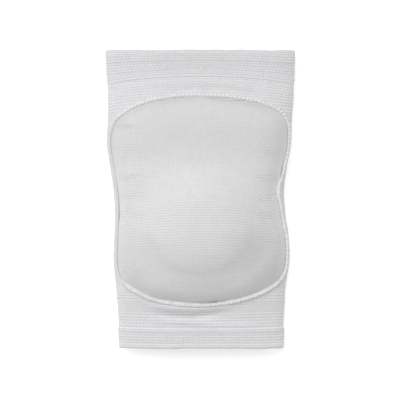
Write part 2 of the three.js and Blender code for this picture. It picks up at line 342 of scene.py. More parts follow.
class Knitting:
    def __init__(self):
        self.points, self.places, self.raised_and_shade = [], [], []
        self.faces, self.shifts = [], []
        self.count = 0

    def cast(self, points, places, raised_and_shade):
        """Adds a grid of points and returns the numbers that they get."""
        shape = points.shape[:-1]
        numbers = np.arange(self.count, self.count + math.prod(shape)).reshape(shape)
        self.points.append(points.reshape(-1, 3))
        self.places.append(np.broadcast_to(places, shape + (2,)).reshape(-1, 2))
        self.raised_and_shade.append(np.broadcast_to(raised_and_shade, shape).reshape(-1))
        self.count += math.prod(shape)
        return numbers

    def weave(self, numbers, wales=None, flip=False):
        """Adds the faces of a grid. With wales, its last column meets its first one again."""
        after = np.roll(numbers, -1, axis=-1) if wales else numbers[..., 1:]
        here = numbers if wales else numbers[..., :-1]
        quads = np.stack([here[..., :-1, :], here[..., 1:, :], after[..., 1:, :], after[..., :-1, :]], -1)
        shift = np.zeros(quads.shape)
        if wales:
            shift[..., -1, 2:] = wales
        quads, shift = quads.reshape(-1, 4), shift.reshape(-1, 4)
        self.faces.append(quads[:, ::-1] if flip else quads)
        self.shifts.append(shift[:, ::-1] if flip else shift)

    def lace(self, outer, inner):
        """Joins two closed loops of points, of any counts, that start side by side."""
        i = j = 0
        faces = []
        while i < len(outer) or j < len(inner):
            a, b = outer[i % len(outer)], inner[j % len(inner)]
            if (i + 1) / len(outer) <= (j + 1) / len(inner):
                i += 1
                faces.append((a, outer[i % len(outer)], b))
            else:
                j += 1
                faces.append((a, inner[j % len(inner)], b))
        self.faces.append(np.array(faces))
        self.shifts.append(np.zeros((len(faces), 3)))

    def crown(self, rings, tips, places, raised_and_shade):
        """Closes each ring of points with a fan of faces round its tip."""
        tip = self.cast(tips, places, raised_and_shade)[:, None]
        fans = np.stack([rings, np.roll(rings, -1, axis=1), np.broadcast_to(tip, rings.shape)], -1)
        self.faces.append(fans.reshape(-1, 3))
        self.shifts.append(np.zeros((fans[..., 0].size, 3)))

    def cast_off(self, name):
        """Makes the mesh and its object, and prints what it has."""
        points = np.concatenate(self.points) + (0, calf_edge, 0)
        mesh = bpy.data.meshes.new(name)
        mesh.from_pydata(points.tolist(), [], [face for block in self.faces for face in block.tolist()])
        places = np.concatenate(self.places)
        corners = []
        for faces, shift in zip(self.faces, self.shifts):
            corner = places[faces]
            corner[..., 0] += shift
            corners.append(corner.reshape(-1, 2))
        mesh.uv_layers.new(name="knit").data.foreach_set("uv", np.concatenate(corners).ravel())
        raised_and_shade = mesh.attributes.new("raised_and_shade", "FLOAT", "POINT")
        raised_and_shade.data.foreach_set("value", np.concatenate(self.raised_and_shade))
        mesh.shade_smooth()
        mesh.validate()
        piece = bpy.data.objects.new(name, mesh)
        scene.collection.objects.link(piece)
        triangles = sum(len(polygon) * (polygon.shape[1] - 2) for polygon in self.faces)
        print(f"{name}: {len(points)} points, {triangles} triangles")
        return piece


# %% [markdown]
# ## Courses and tuck stitches
#
# A course is one row of loops. In this elastic knit each course stands up as a soft rib, and in
# some bands every other loop is a tuck stitch, a small bright bead. The ribs could be a bump in
# the finish, but they catch the light along their whole length, so they are in the mesh: each
# course gets a few rows of points. A bead is a low dome of its own, set on its rib.


# %% Ribs
def course_rows(edges, samples):
    """Places of the rows of points, with samples to each course, and their course numbers."""
    courses = np.arange(len(edges) * samples - samples + 1) / samples
    return np.interp(courses, np.arange(len(edges)), edges), courses


RIB_SHARPNESS = 2.4


def rib(courses):
    """Nothing in the valley between two courses, and 1 on the ridge of one."""
    return 1 - np.abs(2 * (courses % 1) - 1) ** RIB_SHARPNESS


def tube(y, bow, out, turns):
    """Points of a tube that follows the sleeve, out from its face, with their directions out."""
    place = y[:, None] + bow[:, None] * np.maximum(np.sin(turns), 0) ** 2
    normal = skin_normal(place, turns)
    points = skin(place, turns) + normal * out[:, None, None]
    points[..., 2] = np.maximum(points[..., 2], 0)
    return points, normal


# %% Beads
BEAD_SIDES = 8
BEAD_RINGS = 3


def bead_form():
    """A low dome as rings of points: across, along and up, all of size 1."""
    levels = np.arange(BEAD_RINGS) / BEAD_RINGS * 0.5 * math.pi
    angles = np.arange(BEAD_SIDES) / BEAD_SIDES * 2 * math.pi
    return np.stack(
        [
            np.outer(np.cos(levels), np.cos(angles)),
            np.outer(np.cos(levels), np.sin(angles)),
            np.outer(np.sin(levels), np.ones(BEAD_SIDES)),
        ],
        -1,
    )


def add_beads(knitting, centres, normals, size, places):
    """Sets beads of a size (across, along, up) on a face."""
    if not len(centres):
        return
    size = np.broadcast_to(size, (len(centres), 3))
    across = unit(np.cross((0.0, 1.0, 0.0), normals))
    along = np.cross(normals, across)
    axes = np.stack([across, along, normals], 1) * size[:, :, None]
    form = bead_form()
    rings = centres[:, None, None] + np.einsum("rsk,bkx->brsx", form, axes)
    # Painted shade: each bead is darker towards its foot and lightest on top.
    raised_and_shade = np.broadcast_to(lerp(0.6, 1.0, form[..., 2]), rings.shape[:-1])
    grid = knitting.cast(rings, places[:, None, None], raised_and_shade)
    knitting.weave(grid[..., ::-1], wales=1e-9)
    knitting.crown(grid[:, -1], centres + axes[:, 2], places, 1.0)


print("one bead has", BEAD_SIDES * (2 * BEAD_RINGS - 1), "triangles")

# %% [markdown]
# ## Where the pad is
#
# The seam round the pad follows a closed curve on the front of the sleeve, and the cover and the
# foam fill what lies inside it. The curve is worked out first, because the sleeve has no beads
# where the pad hides it.


# %% The line of the seam
CURVE_STEPS = 40


def closed_curve(corners, count):
    """Evenly spaced points on a smooth closed curve through the corners."""
    before, here = np.roll(corners, 1, axis=0), corners
    after, beyond = np.roll(corners, -1, axis=0), np.roll(corners, -2, axis=0)

    def root(a, b):
        return np.sqrt(np.linalg.norm(a - b, axis=1))[:, None]

    d0, d1, d2 = root(here, before), root(after, here), root(beyond, after)
    start = ((here - before) / d0 - (after - before) / (d0 + d1)) * d1 + (after - here)
    end = ((beyond - after) / d2 - (beyond - here) / (d1 + d2)) * d1 + (after - here)
    u = np.linspace(0, 1, CURVE_STEPS, endpoint=False)[None, :, None]
    p0, p1, m0, m1 = here[:, None], after[:, None], start[:, None], end[:, None]
    fine = (
        p0 * (2 * u**3 - 3 * u**2 + 1)
        + m0 * (u**3 - 2 * u**2 + u)
        + p1 * (3 * u**2 - 2 * u**3)
        + m1 * (u**3 - u**2)
    ).reshape(-1, corners.shape[1])
    loop = np.concatenate([fine, fine[:1]])
    run = run_of(np.linalg.norm(np.diff(loop, axis=0), axis=1))
    wanted = np.arange(count) / count * run[-1]
    return np.stack([np.interp(wanted, run, loop[:, k]) for k in range(loop.shape[1])], 1), run[-1]


def seam_line(count):
    """Points of the seam's line, with the way along it, the way out of the sleeve and the way off the pad."""
    y = PAD_START + PAD_OUTLINE["along"] * PAD_LENGTH
    left, right, _, _ = section(y)
    x = np.concatenate([PAD_OUTLINE["right"] * right, (-PAD_OUTLINE["left"] * left)[::-1]])
    y = np.concatenate([y, y[::-1]])
    corners = np.stack([x, y, skin(y, turn_at(x, y))[:, 2]], 1)
    points, length = closed_curve(corners, count)
    turn = turn_at(points[:, 0], points[:, 1])
    points = skin(points[:, 1], turn)
    normal = skin_normal(points[:, 1], turn)
    along = unit(np.roll(points, -1, axis=0) - np.roll(points, 1, axis=0))
    away = unit(np.cross(along, normal))
    return points, along, normal, away, length


def along_pad(y):
    """0 where the pad starts at the calf, and 1 where it ends at the thigh."""
    return (y - PAD_START) / PAD_LENGTH


WELT_LOW = 0.06 * MM
WELT_HEIGHT = 2.0 * MM
WELT_FOOT = 1.6


def oval(angle, grown=0.0):
    """How far aside and up a place round the seam's welt is."""
    aside = np.cos(angle) * (SEAM_WIDTH / 2 + grown)
    up = WELT_LOW + np.maximum(np.sin(angle), 0) ** WELT_FOOT * (WELT_HEIGHT + grown)
    return aside, up


RIM_POINTS = 240
seam_points, _, seam_normal, seam_away, SEAM_LENGTH = seam_line(RIM_POINTS)
print("the seam is", round(SEAM_LENGTH / MM), "mm long")


def rim_of(depth):
    """The outline, seen from above, of a layer that lies this deep in the pad."""
    return (seam_points - seam_away * (SEAM_WIDTH / 2 + CLEARANCE + depth))[:, :2]


def sides_of(rim):
    """The right and the left side of a rim, each from the calf end to the thigh end."""
    low, high = int(rim[:, 1].argmin()), int(rim[:, 1].argmax())
    order = np.roll(np.arange(len(rim)), -low)
    cut = (high - low) % len(rim)
    return rim[order[: cut + 1]], rim[np.append(order[cut:], low)][::-1]


def nearest_on(rim, x, y):
    """How far each place is from the rim, and where on the rim is nearest, counted in its points."""
    side = np.roll(rim, -1, axis=0) - rim
    dx, dy = x[..., None] - rim[:, 0], y[..., None] - rim[:, 1]
    share = np.clip((dx * side[:, 0] + dy * side[:, 1]) / (side**2).sum(1), 0, 1)
    gap = (dx - share * side[:, 0]) ** 2 + (dy - share * side[:, 1]) ** 2
    nearest = gap.argmin(-1)[..., None]
    found = np.take_along_axis(share, nearest, -1) + nearest
    return np.sqrt(np.take_along_axis(gap, nearest, -1))[..., 0], found[..., 0]


def distance_to(rim, x, y):
    return nearest_on(rim, x, y)[0]


def inside_of(rim, x, y):
    right, left = sides_of(rim)
    across = (x < np.interp(y, right[:, 1], right[:, 0])) & (x > np.interp(y, left[:, 1], left[:, 0]))
    return across & (y > rim[:, 1].min()) & (y < rim[:, 1].max())


# %% [markdown]
# ## The sleeve
#
# The sleeve is one tube of elastic knit. Its courses go round it. Seen from the front, plain
# courses run beside the pad, and the bands next to the cuffs have rows of beads, which fade where
# the cloth is stretched over the pad's ends. The inside is plainer, because only the leg meets it.

# %% Knit the sleeve
WALE = 1.45 * MM
SLEEVE_COLUMNS = 172
SLEEVE_SAMPLES = 4
SLEEVE_RIB = 0.17 * MM
# Painted shade on the sleeve: darker in the valleys between courses, lighter towards the calf and darker
# towards the thigh, and darker in a crease by the calf cuff, which is also sunk a little.
SLEEVE_SHADE = (0.22, 0.58)
LIGHTER_AT_CALF = 0.06
SLEEVE_CREASE = (-10, 17.6, 16, 1.3)
CREASE_DEPTH = 0.35 * MM
CREASE_SHADE = 0.4
INSIDE_STEP = 3.2 * MM
BEAD_SIZE = np.array([0.6, 0.6, 0.55]) * MM
BEAD_UNEVENNESS = (0.7, 1.1)
BEAD_SET = 0.1 * MM
BEAD_PITCH_CALF = 2.35 * MM
BEAD_PITCH_THIGH = 2.73 * MM
BEAD_FADE = 0.12
SMALLEST_BEAD = 0.2
BACK_TILT = -0.35
JOIN_REACH = (0.3, 0.6)
JOIN_FULLNESS = 0.9
# The inside of the sleeve and the cover's lining are painted in even shade.
INSIDE_SHADE = 0.4
HALF_CLEARANCE = CLEARANCE / 2

# Bands of courses along the sleeve, from its calf join: where each ends, its pitch, and the share
# of the half width from which its beads show, or 9 for none.
SLEEVE_BANDS = table(
    "end pitch beads_from",
    (0.9, 0.90, 9.0),
    (11.4, 2.10, 0.0),
    (18.4, 1.75, 9.0),
    (24.8, 2.13, 0.45),
    (154.0, 1.74, 9.0),
    (163.0, 2.10, 0.72),
    (176.0, 1.90, 0.50),
)


def band_edges(bands, start, end):
    """The edges of all courses, and for each course from where its beads show."""
    edges, beads_from = [start], []
    ends = start + bands["end"] * MM
    ends[-1] = end
    for band_end, pitch, shows in zip(ends, bands["pitch"] * MM, bands["beads_from"]):
        count = max(round((band_end - edges[-1]) / pitch), 1)
        edges.extend(np.linspace(edges[-1], band_end, count + 1)[1:])
        beads_from.extend([shows] * count)
    return np.array(edges), np.array(beads_from)


def bow_of_sleeve(y, start, end):
    return lerp(CALF_CUFF_BOW, THIGH_CUFF_BOW, (y - start) / (end - start))


uneven = np.random.default_rng(7)


def row_of_beads(y, bow, out, pitch, row):
    """Places for one row of beads round the sleeve, without those on its flat back.

    Each row is a quarter of the pitch further round than the one on its thigh side.
    """
    count = round(girth(y) / pitch)
    fine = even_turns([y], 4 * count)[0]
    turns = fine[(np.arange(count) * 4 - row) % (4 * count)]
    place = y + bow * np.maximum(np.sin(turns), 0) ** 2
    normals = skin_normal(place, turns)
    points = skin(place, turns)
    keep = normals[:, 2] > BACK_TILT
    across = np.abs(np.cos(turns))
    return (points + normals * out)[keep], normals[keep], across[keep]


def knit_sleeve():
    start = CALF_CUFF_DEPTH + HALF_CLEARANCE
    end = LENGTH - THIGH_CUFF_DEPTH - HALF_CLEARANCE
    edges, beads_from = band_edges(SLEEVE_BANDS, start, end)
    y, courses = course_rows(edges, SLEEVE_SAMPLES)
    turns = even_turns(y, SLEEVE_COLUMNS)
    at_join = 1 - smooth_step(np.minimum(courses, courses[-1] - courses), *JOIN_REACH)
    raised_and_shade = np.maximum(rib(courses), at_join * JOIN_FULLNESS)
    points, normals = tube(y, bow_of_sleeve(y, start, end), 0 * y, turns)
    points -= normals * ((1 - raised_and_shade) * SLEEVE_RIB)[:, None, None]
    creased = dent(points[..., 0], points[..., 1], *SLEEVE_CREASE) * (normals[..., 2] > 0)
    points -= normals * (CREASE_DEPTH * creased)[..., None]
    wales = round(girth(LENGTH / 2) / WALE)
    u = np.arange(SLEEVE_COLUMNS) / SLEEVE_COLUMNS * wales
    knitting = Knitting()
    # Painted shade: darker in the valleys, lighter at the calf, darker at the thigh and in the crease.
    shade = (lerp(*SLEEVE_SHADE, raised_and_shade) + lerp(LIGHTER_AT_CALF, -LIGHTER_AT_CALF, y / LENGTH))[:, None]
    shade = shade - CREASE_SHADE * creased
    outside = knitting.cast(points, grid_of(u, courses), shade)
    inner_y = np.linspace(end, start, round((end - start) / INSIDE_STEP))
    inner_turns = even_turns(inner_y, SLEEVE_COLUMNS)
    inner, _ = tube(inner_y, bow_of_sleeve(inner_y, start, end), 0 * inner_y - SLEEVE_WALL, inner_turns)
    inner_courses = np.interp(inner_y, y, courses)
    inside = knitting.cast(inner, grid_of(u, inner_courses), INSIDE_SHADE)
    loop = np.concatenate([outside, inside, outside[:1]])
    knitting.weave(loop, wales=wales)
    hidden = rim_of(-SEAM_WIDTH - BEAD_PITCH_CALF / 2)
    for k, shows in enumerate(beads_from):
        middle = (edges[k] + edges[k + 1]) / 2
        bow = bow_of_sleeve(middle, start, end)
        pitch = BEAD_PITCH_CALF if middle < LENGTH / 2 else BEAD_PITCH_THIGH
        centres, out, across = row_of_beads(middle, bow, -BEAD_SET, pitch, k)
        visible = ~(inside_of(hidden, centres[:, 0], centres[:, 1]) & (out[:, 2] > 0))
        strength = uneven.uniform(*BEAD_UNEVENNESS, len(across))
        if shows > 0:
            strength = strength * smooth_step(across, shows - BEAD_FADE, shows + BEAD_FADE)
        chosen = visible & (strength > SMALLEST_BEAD)
        sizes = BEAD_SIZE * strength[chosen, None]
        places = np.tile([0.5, k + 0.5], (int(chosen.sum()), 1))
        add_beads(knitting, centres[chosen], out[chosen], sizes, places)
    return knitting.cast_off("sleeve_knit")


sleeve_knit = knit_sleeve()

# %% [markdown]
# ## The cuffs
#
# At each end the knit is turned double, so the cuff is thicker and its edge is a soft roll. Rows
# of beads and two sunk lines go round it. The table of each cuff has one row for each course, from
# the edge towards the sleeve.

# %% Knit the cuffs
CUFF_COLUMNS = 260
CUFF_SAMPLES = 6
CUFF_RIB = 0.18 * MM
CUFF_SUNK = 0.42 * MM
CUFF_EDGE_ROUND = 1 * MM
CUFF_EDGE_WAVE = 0.35 * MM
JOIN_GAP = 0.03 * MM
JOIN_LIP = 0.5 * MM
JOIN_RAISED = 0.6
JOIN_FALL = 0.84
# Painted shade on the cuffs: darker in their valleys, in the sunk lines, on the ground round the beads and on
# the inside.
BEAD_ROW_SHADE = 0.62
CUFF_SHADE = 0.7
CUFF_INSIDE_SHADE = 0.35
FULL_BEADS = (0.12, 0.5)
ROLL_ROWS = 9
CUFF_INSIDE_ROWS = 12

THIGH_COURSES = table(
    "end beads sunk",
    (2.10, 0.0, 0.0),
    (3.70, 0.0, 0.0),
    (5.70, 1.0, 0.0),
    (7.65, 1.0, 0.0),
    (9.80, 1.0, 0.0),
    (12.20, 0.0, 0.5),
    (14.20, 1.0, 0.0),
    (16.20, 1.0, 0.0),
    (18.20, 1.0, 0.0),
    (20.30, 0.0, 0.3),
    (22.40, 1.0, 0.0),
    (24.00, 0.0, 0.0),
)
CALF_COURSES = table(
    "end beads sunk",
    (2.30, 0.0, 0.0),
    (4.40, 0.0, 0.0),
    (6.35, 1.0, 0.0),
    (8.30, 1.0, 0.0),
    (10.30, 1.0, 0.0),
    (12.40, 0.0, 0.4),
    (14.40, 1.0, 0.0),
    (15.50, 0.0, 0.0),
)


def ripple(angle):
    """A slight unevenness round an edge, between -1 and 1."""
    return 0.5 * np.sin(5 * angle + 0.7) + 0.3 * np.sin(11 * angle + 2.1) + 0.2 * np.sin(23 * angle)


def knit_cuff(name, courses_table, join, edge, bow, bead_pitch, fade_to):
    """A cuff from its rolled edge to its join. fade_to is what is left of a bead mid-front."""
    way = math.copysign(1, edge - join)
    ends = courses_table["end"] * MM
    ends[-1] = abs(edge - join) + HALF_CLEARANCE - JOIN_GAP + JOIN_LIP
    edges = edge - way * np.concatenate([[CUFF_EDGE_ROUND], ends])
    y, courses = course_rows(edges, CUFF_SAMPLES)
    course = np.minimum(courses.astype(int), len(ends) - 1)
    sunk, beaded = courses_table["sunk"][course], courses_table["beads"][course]
    to_join = smooth_step(courses, len(ends) - 1, len(ends))
    raised_and_shade = np.maximum(rib(courses), JOIN_RAISED * to_join)
    depth = CUFF_RIB * (1 - raised_and_shade) + CUFF_SUNK * sunk * raised_and_shade + CUFF_PROUD * JOIN_FALL * to_join

    def bow_at(place):
        return bow * (edge - place) / (edge - join)

    turns = even_turns(y, CUFF_COLUMNS)
    points, normals = tube(y, bow_at(y), 0 * y + CUFF_PROUD, turns)
    points -= normals * depth[:, None, None]
    points[..., 1] += ripple(turns) * CUFF_EDGE_WAVE * (1 - courses / len(ends))[:, None]
    wales = round(girth(edge) / WALE)
    u = np.arange(CUFF_COLUMNS) / CUFF_COLUMNS * wales
    angles = np.linspace(0, math.pi, ROLL_ROWS)[1:]
    inner_out = CUFF_PROUD - CUFF_WALL
    roll_y = edge - way * CUFF_EDGE_ROUND * (1 - np.sin(angles))
    roll_out = lerp(inner_out, CUFF_PROUD - CUFF_RIB, (1 + np.cos(angles)) / 2)
    wall_end = edges[-1] + way * JOIN_LIP
    inner_y = np.linspace(edge - way * 2 * CUFF_EDGE_ROUND, wall_end, CUFF_INSIDE_ROWS)
    rest_y = np.concatenate([roll_y, inner_y, [wall_end]])
    rest_out = np.concatenate([roll_out, inner_out + 0 * inner_y, [0]])
    rest_turns = even_turns(rest_y, CUFF_COLUMNS)
    rest_points, _ = tube(rest_y, bow_at(rest_y), rest_out, rest_turns)
    inward = np.clip(abs(edge - rest_y) / abs(edge - join), 0, 1)
    rest_points[..., 1] += ripple(rest_turns) * CUFF_EDGE_WAVE * (1 - inward)[:, None]
    rest_courses = -np.arange(1, len(rest_y) + 1) / 2
    knitting = Knitting()
    # Painted shade: darker in the valleys, in the sunk lines and on the ground of the bead rows.
    shade = CUFF_SHADE * raised_and_shade * (1 - sunk) * lerp(1, BEAD_ROW_SHADE, beaded)
    outside = knitting.cast(points, grid_of(u, courses), shade[:, None])
    rest = knitting.cast(rest_points, grid_of(u, rest_courses), CUFF_INSIDE_SHADE)
    loop = np.concatenate([outside[::-1], rest, outside[-1:]])
    knitting.weave(loop, wales=wales, flip=way < 0)
    for k, beads in enumerate(courses_table["beads"]):
        if not beads:
            continue
        middle = (edges[k] + edges[k + 1]) / 2
        row = -k if way > 0 else k
        centres, out, across = row_of_beads(middle, bow_at(middle), CUFF_PROUD - BEAD_SET, bead_pitch, row)
        strength = lerp(fade_to, 1, smooth_step(across, *FULL_BEADS))
        sizes = BEAD_SIZE * (strength * uneven.uniform(*BEAD_UNEVENNESS, len(across)))[:, None]
        add_beads(knitting, centres, out, sizes, np.tile([0.5, k + 0.5], (len(centres), 1)))
    return knitting.cast_off(name)


thigh_join = LENGTH - THIGH_CUFF_DEPTH
thigh_cuff_knit = knit_cuff(
    "thigh_cuff_knit", THIGH_COURSES, thigh_join, LENGTH, THIGH_CUFF_BOW, BEAD_PITCH_THIGH, 0.4
)
calf_cuff_knit = knit_cuff(
    "calf_cuff_knit", CALF_COURSES, CALF_CUFF_DEPTH, 0.0, CALF_CUFF_BOW, BEAD_PITCH_CALF, 0.8
)

# %% [markdown]
# ## The shape of the pad
#
# The foam is moulded: a rounded shoulder all round, thinner towards the thigh, and a dome over the
# kneecap. The cover follows it. Both are worked out as heights over the sleeve, along lines that
# run from side to side, because those are the courses of the cover's knit. The points of a line
# are spaced by the length of cloth between them, so they crowd where the pad falls off steeply.


# %% Heights and lines of a layer of the pad
def pad_floor(x, y):
    turn = turn_at(x, y)
    return skin(y, turn)[..., 2] + CLEARANCE / skin_normal(y, turn)[..., 2]


def pad_rise(rim, depth, x, y):
    along = along_pad(y)
    shoulder = lerp(SHOULDER_CALF, SHOULDER_THIGH, along) - depth
    body = lerp(PAD_RISE_CALF, PAD_RISE_THIGH, along) - depth
    outward = 1 - np.clip(distance_to(rim, x, y) / shoulder, 0, 1)
    softness = lerp(SHOULDER_SOFTNESS_CALF, SHOULDER_SOFTNESS_THIGH, along)
    across = x / (DOME_WIDTH / 2 - depth)
    dome = np.hypot(across, (y - PAD_START - DOME_CENTRE) / (DOME_LENGTH / 2 - depth))
    cup = np.maximum(1 - dome**DOME_FULLNESS, 0) ** 2
    return body * np.maximum(1 - outward**2, 0) ** softness + DOME_RISE * cup


LINE_SAMPLES = 260
MIDDLE_SAMPLES = 900
END_TRIES = 12
ARCH_OF_COURSES = 4.5 * MM
ARCH_STARTS = (0.0, 0.35)
ARCH_STOPS = (0.45, 0.85)


def arch(y, x):
    """How far a course has dropped towards the calf at x: most in the lower half of the pad."""
    along = along_pad(y)
    lower_half = smooth_step(along, *ARCH_STARTS) * (1 - smooth_step(along, *ARCH_STOPS))
    return ARCH_OF_COURSES * lower_half * (x / (THIGH_WIDTH / 2)) ** 2


def centre_line(rim, depth):
    """Places along the middle of a layer, with the length of cloth up to each."""
    right, left = sides_of(rim)
    crossing = [side[[0, -1]] for side in (right, left)]
    low, high = max(s[0, 1] for s in crossing), min(s[1, 1] for s in crossing)
    y = lerp(low, high, (1 - np.cos(np.linspace(0.02, math.pi - 0.02, MIDDLE_SAMPLES))) / 2)
    z = pad_floor(0 * y, y) + pad_rise(rim, depth, 0 * y, y)
    return y, run_of(np.hypot(np.diff(y), np.diff(z)))


def pad_layer(rim, depth, lines, columns, rise=pad_rise):
    """Points of a layer: lines are shares of the cloth's length along its middle."""
    right, left = sides_of(rim)
    middle_y, run = centre_line(rim, depth)
    rows = []
    for centre in np.interp(np.asarray(lines) * run[-1], run, middle_y):
        ends = []
        for side in (right, left):
            x = 0.0
            for _ in range(END_TRIES):
                x = 0.5 * x + 0.5 * np.interp(centre - arch(centre, x), side[:, 1], side[:, 0])
            ends.append(x)
        x = lerp(ends[0], ends[1], (1 - np.cos(np.linspace(0, math.pi, LINE_SAMPLES))) / 2)
        y = centre - arch(centre, x)
        z = pad_floor(x, y) + rise(rim, depth, x, y)
        cloth = run_of(np.sqrt(np.diff(x) ** 2 + np.diff(y) ** 2 + np.diff(z) ** 2))
        wanted = np.interp(np.asarray(columns) * cloth[-1], cloth, x)
        at = centre - arch(centre, wanted)
        rows.append(np.stack([wanted, at, pad_floor(wanted, at) + rise(rim, depth, wanted, at)], -1))
    return np.array(rows)


COVER_MIDDLE = float(centre_line(rim_of(0), 0)[1][-1])
print("the cover is", round(COVER_MIDDLE / MM), "mm of cloth along its middle")


# %% [markdown]
# ## The foam
#
# The foam block lies under the cover and rests on the sleeve, and thins out to nothing at its rim.
# It never shows while the cover is on, but it is what holds the cover out, so it has its true form
# on both sides, and a skin of closed cells.

# %% Mould the foam
FOAM_LINES = 90
FOAM_COLUMNS = 66
FOAM_CELL = 2.5 * MM
foam_depth = COVER_WALL + FOAM_CLEARANCE


def border(numbers):
    """The numbers round the outside of a grid, from its first corner."""
    return np.concatenate([numbers[0], numbers[1:, -1], numbers[-1, -2::-1], numbers[-2:0:-1, 0]])


def mould_foam():
    lines, columns = np.linspace(0, 1, FOAM_LINES), np.linspace(0, 1, FOAM_COLUMNS)
    top = pad_layer(rim_of(foam_depth), foam_depth, lines, columns)
    under = top.copy()
    under[..., 2] = pad_floor(under[..., 0], under[..., 1])
    cells = top[..., :2] / FOAM_CELL
    knitting = Knitting()
    upper = knitting.cast(top, cells, 0.5)
    lower = upper.copy()
    lower[1:-1, 1:-1] = knitting.cast(under[1:-1, 1:-1], cells[1:-1, 1:-1], 0.5)
    knitting.weave(upper)
    knitting.weave(lower, flip=True)
    return knitting.cast_off("foam_block"), top


foam_block, foam_top = mould_foam()

# %% [markdown]
# ## The cover
#
# The cover is a finer knit, sewn down all round and pulled tight over the foam. Its form could be
# copied from the foam, but real cloth doesn't follow a hollow: it spans it. So a coarse net of the
# cover is simulated as cloth that has shrunk a little on the foam, pinned along the seam. How far
# each knot of the net moved is evened out and then added to the fine surface, with a limit on the
# movement. The hem is led up to the side of the seam's welt.

# %% Let the cover settle on the foam
NET_LINES = 84
NET_COLUMNS = 70
NET_SCALE = 10
NET_FRAMES = 20
NET_EVENING = 8
SETTLE_LIMIT = 1 * MM
HELD_BY_SEAM = 12 * MM

# The gap kept between foam and net, as shares of the true one: the foam's side and the net's.
FOAM_SIDE = 0.8
NET_SIDE = 0.1
FOAM_GRIP = 2
CLOTH = {
    "quality": 6,
    "mass": 0.2,
    "tension_stiffness": 12,
    "compression_stiffness": 4,
    "shear_stiffness": 4,
    "bending_stiffness": 0.4,
    "shrink_min": 0.05,
}


def plain_mesh(name, points, scale):
    count_y, count_x = points.shape[:2]
    numbers = np.arange(count_y * count_x).reshape(count_y, count_x)
    quads = np.stack([numbers[:-1, :-1], numbers[1:, :-1], numbers[1:, 1:], numbers[:-1, 1:]], -1)
    mesh = bpy.data.meshes.new(name)
    mesh.from_pydata((points.reshape(-1, 3) * scale).tolist(), [], quads.reshape(-1, 4).tolist())
    piece = bpy.data.objects.new(name, mesh)
    scene.collection.objects.link(piece)
    return piece, numbers


def evened(moved):
    """Each knot's move, half its own and half that of its neighbours, a few times over."""
    for _ in range(NET_EVENING):
        for axis in (0, 1):
            padded = np.concatenate([moved.take([0], axis), moved, moved.take([-1], axis)], axis)
            before = padded.take(range(moved.shape[axis]), axis)
            after = padded.take(range(2, moved.shape[axis] + 2), axis)
            moved = moved / 2 + (before + after) / 4
    return moved


def settle(net, foam):
    """How far the net of the cover moves when it shrinks onto the foam."""
    collider, _ = plain_mesh("foam_form", foam, NET_SCALE)
    collider.modifiers.new("collision", "COLLISION")
    collider.collision.thickness_outer = foam_depth * NET_SCALE * FOAM_SIDE
    collider.collision.cloth_friction = FOAM_GRIP
    cloth, numbers = plain_mesh("cover_net", net, NET_SCALE)
    rim = cloth.vertex_groups.new(name="rim")
    rim.add(border(numbers).tolist(), 1.0, "REPLACE")
    modifier = cloth.modifiers.new("cloth", "CLOTH")
    modifier.settings.vertex_group_mass = "rim"
    for setting, value in CLOTH.items():
        setattr(modifier.settings, setting, value)
    modifier.settings.effector_weights.gravity = 0
    modifier.collision_settings.distance_min = foam_depth * NET_SCALE * NET_SIDE
    modifier.point_cache.frame_end = NET_FRAMES
    for number in range(1, NET_FRAMES + 1):
        scene.frame_set(number)
    settled = cloth.evaluated_get(bpy.context.evaluated_depsgraph_get()).to_mesh()
    flat = np.zeros(net.size, np.float32)
    settled.vertices.foreach_get("co", flat)
    scene.frame_set(1)
    for piece in (cloth, collider):
        bpy.data.objects.remove(piece)
    moved = evened(flat.reshape(net.shape) / NET_SCALE - net)
    held = smooth_step(distance_to(rim_of(0), net[..., 0], net[..., 1]), 0, HELD_BY_SEAM)
    moved = moved * held[..., None]
    far = np.linalg.norm(moved, axis=-1, keepdims=True)
    return moved * np.minimum(1, SETTLE_LIMIT / np.maximum(far, 1e-9))


net_lines, net_columns = np.linspace(0, 1, NET_LINES), np.linspace(0, 1, NET_COLUMNS)
net = pad_layer(rim_of(0), 0, net_lines, net_columns)
net_moved = settle(net, foam_top)
far = np.linalg.norm(net_moved, axis=-1) / MM
print(f"the cover settled by {far.mean():.2f} mm on average and {far.max():.2f} mm at most")

# %% Knit the cover
COVER_PITCH = 1.83 * MM
COVER_SAMPLES = 6
COVER_COLUMNS = 150
COVER_RIB = 0.12 * MM
COVER_RIB_THIGH = 0.5
COVER_BEAD = np.array([0.58, 0.56, 0.5]) * MM
COVER_SHADE = 0.6
COVER_STRETCH = 1.15
LINING_LINES = 70
LINING_COLUMNS = 54
CALM_AT_ENDS = 12
CALM_AT_SIDES = 14
CALMEST = 0.25
THIGH_RIBS = (0.45, 0.75)

# The hem of the cover reaches past its solid to the seam's welt: the angle on the welt at which it
# ends, how far it is tucked in, and over what width it curves there.
HEM_ANGLE = math.radians(135)
HEM_TUCK = 0.2 * MM
HEM_WIDTH = 2.1 * MM

# Patches of tuck stitches on the flanks of the cover: the place of the middle, with y from the
# middle of the whole length, the width, how many rows, and how strongly they stand up and are
# painted in shade.
COVER_PATCHES = table(
    "x y width rows strength",
    (-49.5, 15.8, 16, 3, 1.0),
    (-49.0, 3.1, 18, 3, 1.0),
    (-48.5, -10.3, 18, 3, 1.0),
    (48.5, 16.2, 15, 3, 1.0),
    (48.8, 2.0, 14, 3, 1.0),
    (49.5, -10.7, 17, 3, 1.0),
    (-50.5, 35.5, 10, 4, 0.6),
    (51.0, 34.0, 12, 3, 0.6),
    (-50.0, -25.0, 14, 3, 0.6),
    (52.0, -27.0, 14, 4, 0.8),
)
PATCH_PITCH = 2.2 * MM
PATCH_ROW = 2.0 * MM
# The ground of a patch is painted in shade, by this much at full strength.
PATCH_SHADE = 0.16

